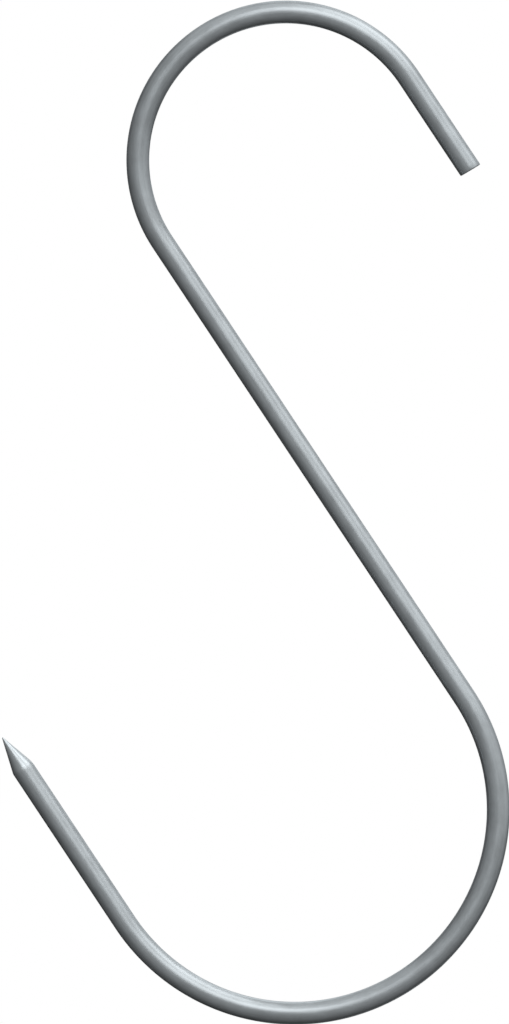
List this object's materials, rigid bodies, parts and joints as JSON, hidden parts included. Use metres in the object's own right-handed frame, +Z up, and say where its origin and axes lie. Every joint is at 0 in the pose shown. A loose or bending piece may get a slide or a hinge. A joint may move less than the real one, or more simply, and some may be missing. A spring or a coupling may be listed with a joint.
{
  "type": "meat hook",
  "caption": "S-shaped steel meat hook: a smaller open loop to hang over a rail, a straight slanting shank, and a larger open loop that ends in a ground point.",
  "frame": {"origin": "the rail seat: the highest point inside the upper loop, where the top of the rail bears", "axes": "+Z up when the hook hangs loaded; the hook lies in the XZ plane with the rod's thickness along Y; the upper loop opens towards +X and the pointed tail is on the -X side"},
  "size_m": [0.1105, 0.005, 0.2233],
  "materials": {
    "satin_steel": "satin drawn round rod, with fine lines along it and a ground point"
  },
  "bodies": {
    "root": {"hook_rod": "satin_steel"}
  },
  "joints": []
}
